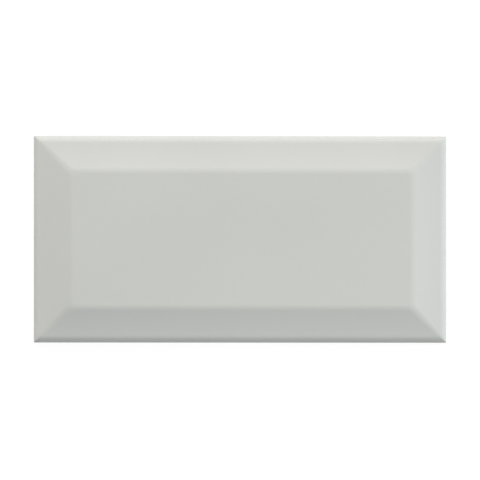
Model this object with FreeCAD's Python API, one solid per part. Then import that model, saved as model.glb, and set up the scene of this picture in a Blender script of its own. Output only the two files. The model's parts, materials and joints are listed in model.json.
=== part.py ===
import FreeCAD, Part
import math
import os

from FreeCAD import Vector

# Bevelled wall tile: one pressed and fired piece, lying on its back with the glazed face up.
# Millimetres. X runs along the length, Y across the width and Z up from the back.
# The origin is the middle of the back.

# Outline of the whole tile
tile_length = 150.0
tile_width = 75.0
tile_thickness = 8.0
corner_radius = 0.3

# Face: a flat field framed by a bevel that is slightly hollow
# The bevel's width and the rim's height are measured to the corners before they are rounded
bevel_width = 12.8
rim_height = 5.0
bevel_hollow = 0.25
crest_radius = 8.0
shoulder_radius = 3.0

# Small rounding where the upright edges meet the back
back_arris = 0.25

# Back: shallow round-ended grooves that give the adhesive a key
groove_width = 6.0
groove_depth = 0.8
groove_draft = 35.0
least_rib = 4.0
back_margin = 6.0

# How far the two crossing mouldings run past each other before they are mitred
overrun = 1.0


def section(span):
    """Cross-section of a moulding in the YZ plane, with its corners still sharp."""
    half = span / 2
    foot = Vector(0, half, 0)
    rim = Vector(0, half, rim_height)
    crest = Vector(0, half - bevel_width, tile_thickness)

    # The bevel is an arc whose middle lies below its chord by the depth of the hollow
    chord = crest - rim
    inward = Vector(0, -chord.z, chord.y).normalize()
    middle = (rim + crest) * 0.5 + inward * bevel_hollow

    def mirrored(point):
        return Vector(point.x, -point.y, point.z)

    outline = [
        Part.LineSegment(mirrored(foot), foot),
        Part.LineSegment(foot, rim),
        Part.Arc(rim, middle, crest),
        Part.LineSegment(crest, mirrored(crest)),
        Part.Arc(mirrored(crest), mirrored(middle), mirrored(rim)),
        Part.LineSegment(mirrored(rim), mirrored(foot)),
    ]
    return Part.Face(Part.Wire([piece.toShape() for piece in outline]))


def moulding(span, run):
    """Straight moulding along X with its crests and shoulders rounded."""
    bar = section(span).extrude(Vector(run, 0, 0))
    bar.translate(Vector(-run / 2, 0, 0))

    def arrises(shape, height):
        """Edges that run the whole length of the moulding at one height."""
        return [
            edge
            for edge in shape.Edges
            if abs(edge.CenterOfMass.z - height) < 1e-6 and abs(edge.Length - run) < 1e-6
        ]

    bar = bar.makeFillet(crest_radius, arrises(bar, tile_thickness))
    return bar.makeFillet(shoulder_radius, arrises(bar, rim_height))


def pressed_blank():
    """Solid common to two crossing mouldings, which mitres the bevels at the corners."""
    along = moulding(tile_width, tile_length + 2 * overrun)
    across = moulding(tile_length, tile_width + 2 * overrun)
    across.rotate(Vector(0, 0, 0), Vector(0, 0, 1), 90)
    blank = along.common(across).Solids[0]

    # Rounding the upright corners carries on up the mitres of the shoulder and the bevel
    uprights = [
        edge
        for edge in blank.Edges
        if edge.Curve.TypeId == "Part::GeomLine"
        and abs(edge.tangentAt(edge.FirstParameter).z) > 0.9
    ]
    blank = blank.makeFillet(corner_radius, uprights)

    back_edges = [edge for edge in blank.Edges if abs(edge.BoundBox.ZMax) < 1e-4]
    return blank.makeFillet(back_arris, back_edges)


def slot_outline(length, width, height):
    """Closed outline with straight sides and half-round ends, at one height."""
    half = width / 2
    reach = length / 2 - half
    outline = [
        Part.LineSegment(Vector(-reach, half, height), Vector(reach, half, height)),
        Part.Arc(
            Vector(reach, half, height),
            Vector(reach + half, 0, height),
            Vector(reach, -half, height),
        ),
        Part.LineSegment(Vector(reach, -half, height), Vector(-reach, -half, height)),
        Part.Arc(
            Vector(-reach, -half, height),
            Vector(-reach - half, 0, height),
            Vector(-reach, half, height),
        ),
    ]
    return Part.Wire([piece.toShape() for piece in outline])


def keying_groove():
    """Groove on the tile's middle line, narrowing upward so that the press lets go."""
    length = tile_length - 2 * back_margin
    narrowing = 2 * groove_depth * math.tan(math.radians(groove_draft))
    mouth = slot_outline(length, groove_width, 0)
    floor = slot_outline(length - narrowing, groove_width - narrowing, groove_depth)
    return Part.makeLoft([mouth, floor], True, True)


def keying_grooves():
    """As many grooves as the back takes, spread evenly between its margins."""
    spread = tile_width - 2 * back_margin
    count = int((spread + least_rib) / (groove_width + least_rib))
    pitch = (spread - groove_width) / (count - 1)
    grooves = []
    for number in range(count):
        groove = keying_groove()
        groove.translate(Vector(0, (number - (count - 1) / 2) * pitch, 0))
        grooves.append(groove)
    return grooves


tile = pressed_blank().cut(keying_grooves()).Solids[0]

os.makedirs("parts", exist_ok=True)
tile.exportStep("parts/bevelled_tile.step")
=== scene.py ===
"""Glazed wall tile with a mitred bevel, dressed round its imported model. Metres, in the model's own frame."""

import json
import math

import bmesh
import bpy
import numpy as np
from bpy.props import FloatProperty, FloatVectorProperty, IntProperty, PointerProperty
from mathutils import Euler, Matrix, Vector


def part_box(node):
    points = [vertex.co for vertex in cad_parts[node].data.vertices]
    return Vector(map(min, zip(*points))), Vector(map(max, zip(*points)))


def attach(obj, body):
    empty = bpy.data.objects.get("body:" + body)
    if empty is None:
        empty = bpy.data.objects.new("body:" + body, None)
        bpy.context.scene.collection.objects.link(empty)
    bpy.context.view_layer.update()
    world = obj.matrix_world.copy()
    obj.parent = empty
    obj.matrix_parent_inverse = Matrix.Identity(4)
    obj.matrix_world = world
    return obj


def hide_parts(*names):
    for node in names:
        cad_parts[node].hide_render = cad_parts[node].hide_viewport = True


bl_info = {
    "name": "Glazed Bevelled Tile",
    "version": (1, 0, 0),
    "blender": (4, 5, 0),
    "location": "3D Viewport > Sidebar > Tile",
    "description": "Presses, glazes and lights a wall tile with a mitred bevel",
    "category": "Add Mesh",
}

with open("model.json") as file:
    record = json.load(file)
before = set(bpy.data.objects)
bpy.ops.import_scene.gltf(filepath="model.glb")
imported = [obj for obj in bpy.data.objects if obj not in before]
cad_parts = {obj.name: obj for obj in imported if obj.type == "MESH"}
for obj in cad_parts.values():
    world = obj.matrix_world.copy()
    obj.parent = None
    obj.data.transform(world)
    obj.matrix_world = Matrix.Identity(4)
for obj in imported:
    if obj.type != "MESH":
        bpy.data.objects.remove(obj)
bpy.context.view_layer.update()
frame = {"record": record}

MM = 0.001
TILE_NODE = "bevelled_tile"
GLAZE_SLOT = "glaze"
tile_low, tile_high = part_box(TILE_NODE)
glaze_record = next(entry for entry in frame["record"]["materials"] if entry["slot"] == GLAZE_SLOT)


# Settings


class TileForm(bpy.types.PropertyGroup):
    """Sizes of the pressed body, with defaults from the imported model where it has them."""

    length: FloatProperty(
        name="Length",
        description="Whole length of the tile",
        default=tile_high.x - tile_low.x,
        unit="LENGTH",
    )
    width: FloatProperty(
        name="Width",
        description="Whole width of the tile",
        default=tile_high.y - tile_low.y,
        unit="LENGTH",
    )
    thickness: FloatProperty(
        name="Thickness",
        description="From the back to the flat field of the face",
        default=tile_high.z - tile_low.z,
        unit="LENGTH",
    )
    bevel_width: FloatProperty(
        name="Bevel Width",
        description="Width of the bevel between its corners, before they are rounded",
        default=12.8 * MM,
        unit="LENGTH",
    )
    rim_height: FloatProperty(
        name="Rim Height",
        description="Height of the bevel's outer corner, before it is rounded",
        default=5.0 * MM,
        unit="LENGTH",
    )
    bevel_hollow: FloatProperty(
        name="Bevel Hollow",
        description="How far the middle of the bevel lies below the line between its corners",
        default=0.25 * MM,
        min=0.01 * MM,
        unit="LENGTH",
    )
    crest_radius: FloatProperty(
        name="Crest Radius",
        description="Rounding between the bevel and the flat field",
        default=8.0 * MM,
        unit="LENGTH",
    )
    shoulder_radius: FloatProperty(
        name="Shoulder Radius",
        description="Rounding between the bevel and the upright edge",
        default=3.0 * MM,
        unit="LENGTH",
    )
    corner_radius: FloatProperty(
        name="Corner Radius",
        description="Rounding of the four upright corners, seen from above",
        default=0.3 * MM,
        unit="LENGTH",
    )
    mitre_radius: FloatProperty(
        name="Mitre Radius",
        description="Rounding of the mitres where they reach the flat field, seen from above",
        default=2.0 * MM,
        unit="LENGTH",
    )
    back_arris: FloatProperty(
        name="Back Arris",
        description="Rounding where the upright edge meets the back",
        default=0.25 * MM,
        unit="LENGTH",
    )


class KeyingForm(bpy.types.PropertyGroup):
    """Grooves in the back that give the adhesive a key."""

    count: IntProperty(
        name="Grooves",
        description="How many grooves lie side by side",
        default=6,
        min=2,
    )
    groove_width: FloatProperty(
        name="Groove Width",
        description="Width of a groove at its mouth",
        default=6.0 * MM,
        unit="LENGTH",
    )
    groove_depth: FloatProperty(
        name="Groove Depth",
        description="Depth of a groove",
        default=0.8 * MM,
        unit="LENGTH",
    )
    groove_draft: FloatProperty(
        name="Groove Draft",
        description="How far a groove's wall leans from upright",
        default=math.radians(35.0),
        subtype="ANGLE",
    )
    margin: FloatProperty(
        name="Margin",
        description="Width of the plain band of back that is left round the grooves",
        default=6.0 * MM,
        unit="LENGTH",
    )
    lip_radius: FloatProperty(
        name="Lip Radius",
        description="Rounding of a groove's lip and foot",
        default=0.25 * MM,
        unit="LENGTH",
    )


class GlazeCoat(bpy.types.PropertyGroup):
    """Glaze that covers the face and runs part of the way down the edges."""

    colour: FloatVectorProperty(
        name="Glaze",
        description="Colour of the glaze, from the record",
        default=glaze_record["base_color"],
        size=3,
        min=0.0,
        max=1.0,
        subtype="COLOR",
    )
    roughness: FloatProperty(
        name="Roughness",
        description="Roughness of the fired glaze",
        default=0.08,
        min=0.0,
        max=1.0,
        subtype="FACTOR",
    )
    refraction: FloatProperty(
        name="Refraction",
        description="Index of refraction of the glaze",
        default=1.5,
    )
    line_height: FloatProperty(
        name="Glaze Line",
        description="Mean height at which the glaze stops on the edges",
        default=1.7 * MM,
        unit="LENGTH",
    )
    line_sway: FloatProperty(
        name="Line Sway",
        description="How far the glaze line strays up and down",
        default=0.35 * MM,
        unit="LENGTH",
    )
    line_rag: FloatProperty(
        name="Line Rag",
        description="Height of the fine raggedness along the glaze line",
        default=0.25 * MM,
        unit="LENGTH",
    )
    line_fade: FloatProperty(
        name="Line Fade",
        description="Height over which the glaze thins out at its line",
        default=0.3 * MM,
        unit="LENGTH",
    )
    coat: FloatProperty(
        name="Coat",
        description="Thickness of the glaze on the edges",
        default=0.08 * MM,
        unit="LENGTH",
    )
    wave: FloatProperty(
        name="Wave",
        description="Height of the slow waves left in the glaze by the kiln",
        default=0.012 * MM,
        unit="LENGTH",
    )
    peel: FloatProperty(
        name="Orange Peel",
        description="Depth of the fine dimples in the glaze",
        default=0.006 * MM,
        unit="LENGTH",
    )
    unevenness: FloatProperty(
        name="Unevenness",
        description="How far the glaze is lighter or darker from place to place",
        default=0.015,
        min=0.0,
        max=1.0,
        subtype="FACTOR",
    )


class BiscuitBody(bpy.types.PropertyGroup):
    """Unglazed body that shows on the back and low on the edges."""

    colour: FloatVectorProperty(
        name="Biscuit",
        description="Cream of the fired body",
        default=(0.66, 0.585, 0.48),
        size=3,
        min=0.0,
        max=1.0,
        subtype="COLOR",
    )
    wash: FloatVectorProperty(
        name="Kiln Wash",
        description="Chalky wash that the kiln's rollers leave on the ribs",
        default=(0.80, 0.78, 0.74),
        size=3,
        min=0.0,
        max=1.0,
        subtype="COLOR",
    )
    wash_cover: FloatProperty(
        name="Wash Cover",
        description="How well the wash hides the body where it lies",
        default=0.8,
        min=0.0,
        max=1.0,
        subtype="FACTOR",
    )
    roughness: FloatProperty(
        name="Roughness",
        description="Roughness of the fired body",
        default=0.9,
        min=0.0,
        max=1.0,
        subtype="FACTOR",
    )
    grain: FloatProperty(
        name="Grain",
        description="Depth of the body's sandy grain",
        default=0.08 * MM,
        unit="LENGTH",
    )


class StudioSetup(bpy.types.PropertyGroup):
    """Camera, lamps and floor round the tile."""

    lens: FloatProperty(
        name="Lens",
        description="Focal length; a long one keeps the edges parallel",
        default=1200.0,
        unit="CAMERA",
    )
    view_width: FloatProperty(
        name="View Width",
        description="Width of the picture at the point that the camera looks at",
        default=174.1 * MM,
        unit="LENGTH",
    )
    left_lean: FloatProperty(
        name="Lean Left",
        description="How far the camera leans from upright towards the left end",
        default=math.radians(4.3),
        subtype="ANGLE",
    )
    near_lean: FloatProperty(
        name="Lean Near",
        description="How far the camera leans from upright towards the near edge",
        default=math.radians(0.9),
        subtype="ANGLE",
    )
    aim: FloatVectorProperty(
        name="Aim",
        description="Point that the camera looks at",
        default=(-0.13 * MM, -0.23 * MM, 2.9 * MM),
        size=3,
        unit="LENGTH",
    )
    near_power: FloatProperty(
        name="Near Lamp",
        description="Power of the small lamp close above the tile, a little to the right",
        default=1.54,
        unit="POWER",
    )
    large_power: FloatProperty(
        name="Large Lamp",
        description="Power of the large lamp beyond the far left corner",
        default=47.3,
        unit="POWER",
    )
    far_power: FloatProperty(
        name="Far Strip",
        description="Power of the low strip beyond the far edge",
        default=18.9,
        unit="POWER",
    )
    right_power: FloatProperty(
        name="Right Strip",
        description="Power of the low strip beyond the right end",
        default=53.9,
        unit="POWER",
    )
    ambient: FloatProperty(
        name="Ambient",
        description="Strength of the even light from all round",
        default=0.33,
    )
    warm_colour: FloatVectorProperty(
        name="Warm Light",
        description="Colour of the near lamp, the large lamp and the far strip",
        default=(1.0, 0.946, 0.908),
        size=3,
        min=0.0,
        max=1.0,
        subtype="COLOR",
    )
    cool_colour: FloatVectorProperty(
        name="Cool Light",
        description="Colour of the right strip and of the light from all round",
        default=(0.896, 0.947, 1.0),
        size=3,
        min=0.0,
        max=1.0,
        subtype="COLOR",
    )
    floor_tone: FloatProperty(
        name="Floor Tone",
        description="Share of light that the pale floor sends back",
        default=0.16,
        min=0.0,
        max=1.0,
        subtype="FACTOR",
    )
    floor_white: FloatProperty(
        name="Floor White",
        description="Whiteness that the floor adds for the camera and in reflections",
        default=0.9,
    )


# The tile's shape

# Steps of the grids along a long side, along one groove's share of a short side and round a corner
LONG_STEPS = 144
CELL_STEPS = 12
CORNER_STEPS = 8

# Steps of the section, from the back up the edge to the face, and of a groove's section
RIM_STEPS = 3
ARRIS_STEPS = 6
EDGE_STEPS = 21
SHOULDER_STEPS = 14
BEVEL_STEPS = 16
CREST_STEPS = 12
BORDER_STEPS = 3
GROOVE_STEPS = 4

# Flat border that the shell takes from the field, and how far in from the edge its bare part stands back
FIELD_BORDER = 4 * MM
SETBACK_REACH = 1.2 * MM
WELD_DISTANCE = 0.001 * MM

REACH_NAME = "glaze_reach"
QUARTER_TURN = np.array(((0, 1), (-1, 0)))

# Random draws: seeds, how high each wave of the glaze line is, and the glaze ripples' lengths and phases
LINE_SEED = 11
LINE_HEIGHTS = (0.4, 1.0)
RIPPLE_SEED = 5
RIPPLE_LENGTHS = (0.7, 2.2)
RIPPLE_PHASES = (0, 7)


def outline_samples(long_steps, short_steps, corner_steps):
    """Samples round the outline, anticlockwise from above, as arrays of seat and outward direction.

    A seat runs from -1 to 1 on each axis between the centres of the corners. A point of the outline is
    its seat times the half size inside the corner radius, plus the radius times its outward direction.
    The right side and the corner after it, spun by quarter turns, give the other sides and corners.
    """
    turn = np.linspace(0, math.pi / 2, corner_steps + 1)[1:-1]
    fan = np.column_stack((np.cos(turn), np.sin(turn)))
    seats, outward = [], []
    for quarter, steps in enumerate((short_steps, long_steps) * 2):
        spin = np.linalg.matrix_power(QUARTER_TURN, quarter)
        side = np.linspace((1, -1), (1, 1), steps + 1)
        facing = np.tile((1, 0), (steps + 1, 1))
        seats += [side @ spin, np.ones_like(fan) @ spin]
        outward += [facing @ spin, fan @ spin]
    return np.vstack(seats), np.vstack(outward)


def arc(centre, radius, start, stop, steps):
    """Round stretch of the section as rows of inset and height.

    Each point lies one radius from the centre, along a normal whose angle above the level goes from
    start to stop. A negative radius puts the points on the far side, which makes the stretch hollow.
    """
    angle = np.linspace(start, stop, steps + 1)
    return np.column_stack((centre[0] - radius * np.cos(angle), centre[1] + radius * np.sin(angle)))


def face_section(form):
    """Section from the top of the upright edge to the flat field, as rows of inset and height.

    Three round stretches follow one another without a corner: the shoulder, the slightly hollow bevel
    and the crest. The bevel is the arc through its two sharp corners, less what the roundings take: their
    radius times the tangent of half the turn. The swing is how far that arc's ends lean from its chord.
    """
    rise = form.thickness - form.rim_height
    chord = math.hypot(form.bevel_width, rise)
    slope = math.atan2(rise, form.bevel_width)
    swing = 2 * math.atan(2 * form.bevel_hollow / chord)
    shoulder_reach = form.shoulder_radius * math.tan((math.pi / 2 - slope + swing) / 2)
    crest_reach = form.crest_radius * math.tan((slope + swing) / 2)
    outer_slope = slope - swing + 2 * swing * shoulder_reach / chord
    inner_slope = slope + swing - 2 * swing * crest_reach / chord
    hollow_radius = -(chord - shoulder_reach - crest_reach) / (inner_slope - outer_slope)

    outer_normal = math.pi / 2 - outer_slope
    inner_normal = math.pi / 2 - inner_slope
    bends = (
        (form.shoulder_radius, 0, outer_normal, SHOULDER_STEPS),
        (hollow_radius, outer_normal, inner_normal, BEVEL_STEPS),
        (form.crest_radius, inner_normal, math.pi / 2, CREST_STEPS),
    )
    rows = np.zeros((1, 2))
    for radius, start, stop, steps in bends:
        centre = rows[-1] + radius * np.array((math.cos(start), -math.sin(start)))
        rows = np.vstack((rows, arc(centre, radius, start, stop, steps)[1:]))
    rows[:, 1] += form.thickness - rows[-1, 1]
    return rows


def shell_section(form, back_inset, face_inset):
    """Whole section from the back to the flat field, as arrays of inset, height and corner radius.

    The corner radius is the outline's own on the upright edge and shrinks round the back arris. Up the
    bevel it grows to the mitre's radius along half a parabola, quickly at first and then levelling out.
    It is nothing at both ends, where the shell meets square fields.
    """
    face = face_section(form)
    arris = arc((form.back_arris, form.back_arris), form.back_arris, -math.pi / 2, 0, ARRIS_STEPS)
    rim = np.linspace((back_inset, 0), arris[0], RIM_STEPS + 1)[:-1]
    edge = np.linspace(arris[-1], face[0], EDGE_STEPS + 1)[1:-1]
    border = np.linspace(face[-1], (face_inset, form.thickness), BORDER_STEPS + 1)[1:]
    inset, height = np.vstack((rim, arris, edge, face, border)).T

    share = np.clip(inset / face[-1, 0], 0, 1) * (height > face[0, 1])
    corner = form.corner_radius + (form.mitre_radius - form.corner_radius) * (1 - (1 - share) ** 2)
    corner = np.where(height < form.back_arris, form.corner_radius - inset, corner)
    corner = np.maximum(corner, 0)
    corner[[0, -1]] = 0
    return inset, height, corner


def wandering_line(turns, seed, waves=60, falloff=0.6):
    """Smooth closed wandering of one unit at most, at places round the outline from 0 to 1.

    It is a sum of sines with whole numbers of waves round the outline, so that it meets itself. Phases
    and heights are drawn, and the heights fall off as a power of the number of waves.
    """
    draw = np.random.default_rng(seed)
    number = np.arange(1, waves + 1)
    phase = draw.uniform(0, 2 * math.pi, waves)
    height = draw.uniform(*LINE_HEIGHTS, waves) * number**-falloff
    sway = np.sin(2 * math.pi * np.outer(turns, number) + phase) @ height
    return sway / np.abs(sway).max()


def glaze_waves(x, y, length, height, seed, ripples=7):
    """Slow waves of the glaze: the mean of sine ripples about one length long, times the height.

    Each ripple's heading, length and phase are drawn in turn.
    """
    draw = np.random.default_rng(seed)
    total = np.zeros_like(x)
    for _ in range(ripples):
        heading = draw.uniform(0, math.pi)
        pace = 2 * math.pi / (length * draw.uniform(*RIPPLE_LENGTHS))
        phase = draw.uniform(*RIPPLE_PHASES)
        total += np.sin(pace * (x * math.cos(heading) + y * math.sin(heading)) + phase)
    return height * total / ripples


def grid_faces(grid, start, closed):
    """Quads of a grid whose points are stored line by line; a closed grid's last line meets its first."""
    lines, rows = grid.shape[:2]
    near = np.arange(lines)[:, None] * rows + np.arange(rows - 1) + start
    far = np.roll(near, -1, axis=0)
    quads = np.stack((near, far, far + 1, near + 1), axis=-1)
    return (quads if closed else quads[:-1]).reshape(-1, 4)


def shell_surface(form, glaze, back_inset, face_inset, short_steps):
    """Section carried round the outline, as a grid of points and the glaze's reach at each.

    The reach is the height above the glaze line. Below the line the edge stands back by the coat.
    """
    seats, outward = outline_samples(LONG_STEPS, short_steps, CORNER_STEPS)
    inset, height, corner = shell_section(form, back_inset, face_inset)
    turns = np.linspace(0, 1, len(seats), endpoint=False)
    line = glaze.line_height + glaze.line_sway * wandering_line(turns, LINE_SEED)
    reach = height - line[:, None]

    cover = np.clip(reach / glaze.line_fade + 0.5, 0, 1)
    bare = 1 - cover * cover * (3 - 2 * cover)
    on_edge = np.clip(1 - inset / SETBACK_REACH, 0, 1)
    setback = glaze.coat * bare * on_edge

    half = np.array((form.length / 2, form.width / 2))
    span = half - (inset + setback + corner)[:, :, None]
    flat = seats[:, None, :] * span + outward[:, None, :] * corner[:, None]
    return np.dstack((flat, np.broadcast_to(height, reach.shape))), reach


def face_field(form, face_inset, short_steps):
    """Flat field of the face as a square grid that shares its border with the shell."""
    x = np.linspace(-1, 1, LONG_STEPS + 1) * (form.length / 2 - face_inset)
    y = np.linspace(-1, 1, short_steps + 1) * (form.width / 2 - face_inset)
    x, y = np.meshgrid(x, y, indexing="ij")
    return np.dstack((x, y, np.full_like(x, form.thickness)))


def groove_pitch(form, keying):
    """Distance from one groove to the next, when the outer two lie a margin in from the long edges."""
    return (form.width - 2 * keying.margin - keying.groove_width) / (keying.count - 1)


def groove_section(keying):
    """Half section of a groove from its middle to beyond its lip, as rows of reach and height.

    The lip and the foot are the same arc, tangent to the leaning wall and to the level beside it. Both
    give up to the arc a length of its radius times the tangent of half the wall's slope.
    """
    slope = math.pi / 2 - keying.groove_draft
    ease = keying.lip_radius * math.tan(slope / 2)
    lip_reach = keying.groove_width / 2 + ease
    foot_reach = keying.groove_width / 2 - keying.groove_depth * math.tan(keying.groove_draft) - ease
    turn = np.linspace(0, slope, GROOVE_STEPS + 1)
    bend = keying.lip_radius * np.column_stack((np.sin(turn), 1 - np.cos(turn)))
    foot = (foot_reach, keying.groove_depth) + bend * (1, -1)
    lip = (lip_reach, 0) + bend[::-1] * (-1, 1)
    floor = np.linspace((0, keying.groove_depth), foot[0], GROOVE_STEPS + 1)[:-1]
    return np.vstack((floor, foot, lip))


def groove_cell(form, keying, number, back_inset):
    """One groove with the strip of back round it, as a closed grid.

    Each point lies on a line from the groove's middle line, its nearest point there, to the border of
    the strip, at the reach of the section. Beyond the lip the points go on evenly to the border.
    """
    pitch = groove_pitch(form, keying)
    middle = (number - (keying.count - 1) / 2) * pitch
    seats, _ = outline_samples(LONG_STEPS, CELL_STEPS, 1)
    border = seats * (form.length / 2 - back_inset, pitch / 2)
    core_end = form.length / 2 - keying.margin - keying.groove_width / 2
    core = np.clip(border, (-core_end, 0), (core_end, 0))
    away = border - core
    distance = np.linalg.norm(away, axis=1)[:, None]

    reach, height = groove_section(keying).T
    share = np.linspace(0, 1, BORDER_STEPS + 1)[1:]
    inside = np.broadcast_to(reach, (len(border), len(reach)))
    reaches = np.hstack((inside, reach[-1] + (distance - reach[-1]) * share))
    heights = np.hstack((height, np.zeros_like(share)))
    flat = (core + (0, middle))[:, None, :] + (away / distance)[:, None, :] * reaches[:, :, None]
    return np.dstack((flat, np.broadcast_to(heights, reaches.shape)))


def welded_mesh(name, points, faces, reaches):
    """Mesh from stacked grids, with the points that two grids share merged and its faces outwards."""
    mesh = bpy.data.meshes.new(name)
    mesh.from_pydata(points, [], faces.tolist())
    mesh.attributes.new(REACH_NAME, "FLOAT", "POINT").data.foreach_set("value", reaches.astype(np.float32))
    work = bmesh.new()
    work.from_mesh(mesh)
    bmesh.ops.remove_doubles(work, verts=work.verts, dist=WELD_DISTANCE)
    bmesh.ops.recalc_face_normals(work, faces=work.faces)
    work.to_mesh(mesh)
    work.free()
    mesh.shade_smooth()
    return mesh


def build_tile_mesh(form, keying, glaze):
    """Closed surface of the tile: the shell round its edge, the field of the face and the grooved back.

    The field counts as far above the glaze line and the back as far below it. Waves lower the face and
    never raise it, in full on the flat field and less and less down the bevel.
    """
    back_inset = (form.width - keying.count * groove_pitch(form, keying)) / 2
    face_inset = form.bevel_width + FIELD_BORDER
    short_steps = keying.count * CELL_STEPS
    shell, shell_reach = shell_surface(form, glaze, back_inset, face_inset, short_steps)
    field = face_field(form, face_inset, short_steps)
    grids = [(shell, shell_reach, True), (field, form.thickness, False)]
    for number in range(keying.count):
        grids.append((groove_cell(form, keying, number, back_inset), -form.thickness, True))

    faces, start = [], 0
    for grid, _, closed in grids:
        faces.append(grid_faces(grid, start, closed))
        start += grid.shape[0] * grid.shape[1]
    points = np.vstack([grid.reshape(-1, 3) for grid, _, _ in grids])
    reaches = np.hstack([np.broadcast_to(reach, grid.shape[:2]).ravel() for grid, reach, _ in grids])

    x, y, z = points.T
    face_share = np.clip((z - form.rim_height) / (form.thickness - form.rim_height), 0, 1)
    waves = glaze_waves(x, y, form.bevel_width, glaze.wave, RIPPLE_SEED)
    points[:, 2] -= face_share * (glaze.wave - waves)
    return welded_mesh("tile", points, np.vstack(faces), reaches)


# Materials

WHITE = (1.0, 1.0, 1.0)

# Sizes of the patterns in the glaze
DRIFT_SIZE = 45 * MM
MOTTLE_SIZE = 1.6 * MM
PEEL_SIZE = 3.5 * MM
FINE_PEEL_SIZE = 0.9 * MM
RAG_SIZE = 0.6 * MM
RAG_EDGE = 0.04 * MM

# Shares of the broader pattern in the tone and the peel, and how far the roughness strays from its mean
DRIFT_SHARE = 0.7
PEEL_SHARE = 0.8
ROUGHNESS_SPREAD = (0.7, 1.3)

# Sizes of the patterns in the biscuit, and the heights between which the kiln wash stops
GRAIN_SIZE = 0.35 * MM
GRIT_SIZE = 0.8 * MM
PATCH_SIZE = 9 * MM
WASH_HEIGHTS = (0.02 * MM, 0.12 * MM)

# Tones of the biscuit's pale and deep sand and of its grit, and how well the grit covers the sand
BISCUIT_TONES = (1.08, 0.9, 0.55)
GRIT_COVER = 0.5

# Values of a noise between which the tone changes, grit sets in and wash sets in
TONE_STEP = (0.3, 0.7)
GRIT_STEP = (0.68, 0.78)
WASH_STEP = (0.42, 0.62)

# Places of a Mix node's share and two colours among its inputs, and of the colour that it gives
MIX_SHARE = 0
MIX_FIRST = 6
MIX_SECOND = 7
MIX_RESULT = 2


class Wire:
    """Socket of a node tree whose arithmetic adds Math nodes to the tree, with | for the larger value."""

    def __init__(self, mix, socket):
        self.mix = mix
        self.socket = socket

    def combined(self, operation, first, second):
        """Result of a Math node on two wires or numbers."""
        return self.mix.add("ShaderNodeMath", {"operation": operation}, {0: first, 1: second})

    def __add__(self, other):
        return self.combined("ADD", self, other)

    def __sub__(self, other):
        return self.combined("SUBTRACT", self, other)

    def __rsub__(self, other):
        return self.combined("SUBTRACT", other, self)

    def __mul__(self, other):
        return self.combined("MULTIPLY", self, other)

    def __or__(self, other):
        return self.combined("MAXIMUM", self, other)

    __radd__ = __add__
    __rmul__ = __mul__
    __ror__ = __or__

    def step(self, low, high):
        """Eased step from 0 at low to 1 at high."""
        settings = {"interpolation_type": "SMOOTHSTEP"}
        inputs = {"Value": self, "From Min": low, "From Max": high}
        return self.mix.add("ShaderNodeMapRange", settings, inputs)

    def spread(self, low, high):
        """Value between low and high, in proportion as this one goes from 0 to 1."""
        return low + (high - low) * self


class Mixture:
    """Node tree of one material or world."""

    def __init__(self, owner):
        owner.use_nodes = True
        self.owner = owner
        self.tree = owner.node_tree
        self.tree.nodes.clear()

    def add(self, kind, settings, inputs, output=0):
        """Adds a node of a kind: its settings first, then a value or a wire for each socket."""
        node = self.tree.nodes.new(kind)
        for setting, value in settings.items():
            setattr(node, setting, value)
        for socket, value in inputs.items():
            if isinstance(value, Wire):
                self.tree.links.new(value.socket, node.inputs[socket])
            else:
                node.inputs[socket].default_value = value
        return Wire(self, node.outputs[output]) if node.outputs else None

    def place(self):
        """Place on the object, in metres."""
        return self.add("ShaderNodeTexCoord", {}, {}, "Object")

    def noise(self, size, detail=2.0, roughness=0.5):
        """Noise from 0 to 1 whose patches are about as wide as the size."""
        inputs = {"Vector": self.place(), "Scale": 1 / size, "Detail": detail, "Roughness": roughness}
        return self.add("ShaderNodeTexNoise", {}, inputs)

    def blend(self, share, first, second):
        """Colour between first and second."""
        inputs = {MIX_SHARE: share, MIX_FIRST: first, MIX_SECOND: second}
        return self.add("ShaderNodeMix", {"data_type": "RGBA"}, inputs, MIX_RESULT)

    def mixed(self, share, first, second):
        """Shader between first and second."""
        return self.add("ShaderNodeMixShader", {}, {0: share, 1: first, 2: second})

    def bump(self, height, distance):
        """Normal of a surface raised by the height times the distance."""
        return self.add("ShaderNodeBump", {}, {"Height": height, "Distance": distance, "Strength": 1.0})

    def finish(self, shader):
        """Ends the tree in the given shader."""
        is_world = isinstance(self.owner, bpy.types.World)
        output = "ShaderNodeOutputWorld" if is_world else "ShaderNodeOutputMaterial"
        self.add(output, {}, {"Surface": shader})
        return self.owner


def rgba(colour, tone=1.0):
    """Colour with full cover, lighter or darker by the tone."""
    return (*(min(1.0, tone * part) for part in colour), 1.0)


def glaze_shader(mix, glaze):
    """Pale fired glaze: broad drift of tone, fine mottle, and the soft skin of orange peel."""
    drift = mix.noise(DRIFT_SIZE, detail=1.0)
    mottle = mix.noise(MOTTLE_SIZE, detail=3.0)
    tone = drift * DRIFT_SHARE + mottle * (1 - DRIFT_SHARE)
    darker = rgba(glaze.colour, 1 - glaze.unevenness)
    lighter = rgba(glaze.colour, 1 + glaze.unevenness)
    broad_peel = mix.noise(PEEL_SIZE, detail=1.0)
    fine_peel = mix.noise(FINE_PEEL_SIZE, detail=1.0)
    peel = broad_peel * PEEL_SHARE + fine_peel * (1 - PEEL_SHARE)
    inputs = {
        "Base Color": mix.blend(tone.step(*TONE_STEP), darker, lighter),
        "Roughness": glaze.roughness * mottle.spread(*ROUGHNESS_SPREAD),
        "IOR": glaze.refraction,
        "Normal": mix.bump(peel, glaze.peel),
    }
    return mix.add("ShaderNodeBsdfPrincipled", {}, inputs)


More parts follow.
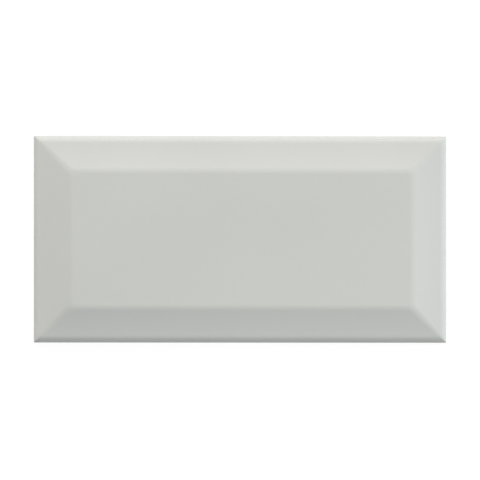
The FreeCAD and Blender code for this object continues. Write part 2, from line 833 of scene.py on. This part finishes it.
def biscuit_shader(mix, biscuit):
    """Dry fired body: sandy grain, darker grit, and chalky kiln wash on the ribs that met the rollers."""
    grain = mix.noise(GRAIN_SIZE, detail=3.0, roughness=0.65)
    grit = mix.noise(GRIT_SIZE, detail=1.0).step(*GRIT_STEP)
    patches = mix.noise(PATCH_SIZE, detail=5.0, roughness=0.6).step(*WASH_STEP)
    height = mix.add("ShaderNodeSeparateXYZ", {}, {"Vector": mix.place()}, "Z")
    on_ribs = 1 - height.step(*WASH_HEIGHTS)
    pale, deep, dark = (rgba(biscuit.colour, tone) for tone in BISCUIT_TONES)
    sand = mix.blend(grain.step(*TONE_STEP), deep, pale)
    gritty = mix.blend(grit * GRIT_COVER, sand, dark)
    inputs = {
        "Base Color": mix.blend(patches * on_ribs * biscuit.wash_cover, gritty, rgba(biscuit.wash)),
        "Roughness": biscuit.roughness,
        "Normal": mix.bump(grain, biscuit.grain),
    }
    return mix.add("ShaderNodeBsdfPrincipled", {}, inputs)


def tile_material(glaze, biscuit):
    """Glaze down to its ragged, wandering line, and bare biscuit below it and on the back."""
    mix = Mixture(bpy.data.materials.new("glazed_tile"))
    reach = mix.add("ShaderNodeAttribute", {"attribute_name": REACH_NAME}, {}, "Fac")
    ragged = (mix.noise(RAG_SIZE) - 0.5) * glaze.line_rag
    cover = (reach + ragged).step(-RAG_EDGE, RAG_EDGE)
    return mix.finish(mix.mixed(cover, biscuit_shader(mix, biscuit), glaze_shader(mix, glaze)))


def seen_directly(mix):
    """1 for camera rays and for those that reflections and clear things send on, 0 for all others."""
    camera, glossy, clear = (
        mix.add("ShaderNodeLightPath", {}, {}, ray)
        for ray in ("Is Camera Ray", "Is Glossy Ray", "Is Transmission Ray")
    )
    return camera | glossy | clear


def floor_material(studio):
    """Pale floor that takes shadows, with a whiteness of its own to the camera and in reflections."""
    mix = Mixture(bpy.data.materials.new("pale_floor"))
    pale = mix.add("ShaderNodeBsdfDiffuse", {}, {"Color": rgba(WHITE, studio.floor_tone)})
    white = mix.add("ShaderNodeEmission", {}, {"Strength": studio.floor_white})
    both = mix.add("ShaderNodeAddShader", {}, {0: pale, 1: white})
    return mix.finish(mix.mixed(seen_directly(mix), pale, both))


def studio_world(studio):
    """Even light from all round, which is plain white to the camera and in reflections."""
    mix = Mixture(bpy.data.worlds.new("studio"))
    even_light = {"Color": rgba(studio.cool_colour), "Strength": studio.ambient}
    dim = mix.add("ShaderNodeBackground", {}, even_light)
    white = mix.add("ShaderNodeBackground", {}, {"Color": rgba(WHITE), "Strength": 1.0})
    return mix.finish(mix.mixed(seen_directly(mix), dim, white))


# Stage

# Half the side of the square floor, and the lengths and widths of the lamps
FLOOR_REACH = 3.0
SMALL_LAMP = (0.6, 0.6)
LARGE_LAMP = (2.0, 1.6)
STRIP_LAMP = (2.4, 0.66)


def add_floor(scene, studio):
    """Large level floor that the tile lies on."""
    mesh = bpy.data.meshes.new("floor")
    corners = [(FLOOR_REACH * x, FLOOR_REACH * y, 0) for x, y in ((-1, -1), (1, -1), (1, 1), (-1, 1))]
    mesh.from_pydata(corners, [], [(0, 1, 2, 3)])
    mesh.materials.append(floor_material(studio))
    floor = bpy.data.objects.new("floor", mesh)
    scene.collection.objects.link(floor)


def add_softbox(scene, name, size, power, colour, bearing, height, distance):
    """Soft lamp that shines square-on at the tile, and that neither the camera nor reflections show.

    The bearing goes round from +Y towards +X, and the height is the angle above the floor, in degrees.
    """
    bearing, height = math.radians(bearing), math.radians(height)
    toward = Vector(
        (
            math.sin(bearing) * math.cos(height),
            math.cos(bearing) * math.cos(height),
            math.sin(height),
        )
    )
    lamp = bpy.data.lights.new(name, "AREA")
    lamp.shape = "RECTANGLE"
    lamp.size, lamp.size_y = size
    lamp.color = colour
    lamp.energy = power
    holder = bpy.data.objects.new(name, lamp)
    holder.location = toward * distance
    holder.rotation_mode = "QUATERNION"
    holder.rotation_quaternion = toward.to_track_quat("Z", "Y")
    holder.visible_camera = False
    holder.visible_glossy = False
    scene.collection.objects.link(holder)


def add_lamps(scene, studio):
    """Small lamp close above, large lamp beyond the far left corner, and low strips on two sides."""
    warm, cool = studio.warm_colour, studio.cool_colour
    add_softbox(
        scene, "near_lamp", SMALL_LAMP, studio.near_power, warm, bearing=110, height=72, distance=0.7
    )
    add_softbox(
        scene, "large_lamp", LARGE_LAMP, studio.large_power, warm, bearing=-30, height=25, distance=2.4
    )
    add_softbox(
        scene, "far_strip", STRIP_LAMP, studio.far_power, warm, bearing=-15, height=8, distance=2.4
    )
    add_softbox(
        scene, "right_strip", STRIP_LAMP, studio.right_power, cool, bearing=90, height=8, distance=2.4
    )


def add_camera(scene, studio):
    """Camera far off behind a long lens, almost straight above the tile, leaning left and near.

    It is set back from its aim until the view's width there fills the sensor.
    """
    data = bpy.data.cameras.new("camera")
    data.lens = studio.lens
    distance = studio.view_width * studio.lens / data.sensor_width
    lean = Euler((studio.near_lean, -studio.left_lean, 0))
    camera = bpy.data.objects.new("camera", data)
    camera.location = Vector(studio.aim) + lean.to_matrix().col[2] * distance
    camera.rotation_euler = lean
    scene.collection.objects.link(camera)
    scene.camera = camera


# Operators


class TILE_OT_press_and_glaze(bpy.types.Operator):
    """Builds the glazed tile in place of its plain solid"""

    bl_idname = "tile.press_and_glaze"
    bl_label = "Press and Glaze"

    def execute(self, context):
        scene = context.scene
        mesh = build_tile_mesh(scene.tile_form, scene.tile_keying, scene.tile_glaze)
        mesh.materials.append(tile_material(scene.tile_glaze, scene.tile_biscuit))
        tile = bpy.data.objects.new("glazed_tile", mesh)
        scene.collection.objects.link(tile)
        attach(tile, "root")
        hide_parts(TILE_NODE)
        return {"FINISHED"}


class TILE_OT_set_stage(bpy.types.Operator):
    """Lays the floor, hangs the lamps and sets up the camera"""

    bl_idname = "tile.set_stage"
    bl_label = "Set Stage"

    def execute(self, context):
        scene = context.scene
        studio = scene.tile_studio
        scene.world = studio_world(studio)
        add_floor(scene, studio)
        add_lamps(scene, studio)
        add_camera(scene, studio)
        scene.view_settings.view_transform = "Standard"
        return {"FINISHED"}


class TILE_PT_panel(bpy.types.Panel):
    """Steps that make the tile"""

    bl_label = "Bevelled Tile"
    bl_idname = "TILE_PT_panel"
    bl_space_type = "VIEW_3D"
    bl_region_type = "UI"
    bl_category = "Tile"

    def draw(self, context):
        column = self.layout.column(align=True)
        for operator in OPERATORS:
            column.operator(operator.bl_idname)


GROUPS = {
    "tile_form": TileForm,
    "tile_keying": KeyingForm,
    "tile_glaze": GlazeCoat,
    "tile_biscuit": BiscuitBody,
    "tile_studio": StudioSetup,
}
OPERATORS = (TILE_OT_press_and_glaze, TILE_OT_set_stage)
CLASSES = (*GROUPS.values(), *OPERATORS, TILE_PT_panel)


def register():
    """Makes the settings, the operators and the panel known."""
    for kind in CLASSES:
        bpy.utils.register_class(kind)
    for name, group in GROUPS.items():
        setattr(bpy.types.Scene, name, PointerProperty(type=group))


def unregister():
    """Takes away what register made known."""
    for name in GROUPS:
        delattr(bpy.types.Scene, name)
    for kind in reversed(CLASSES):
        bpy.utils.unregister_class(kind)


def main():
    """Runs the operators in order."""
    register()
    bpy.ops.tile.press_and_glaze()
    bpy.ops.tile.set_stage()


if __name__ == "__main__":
    main()
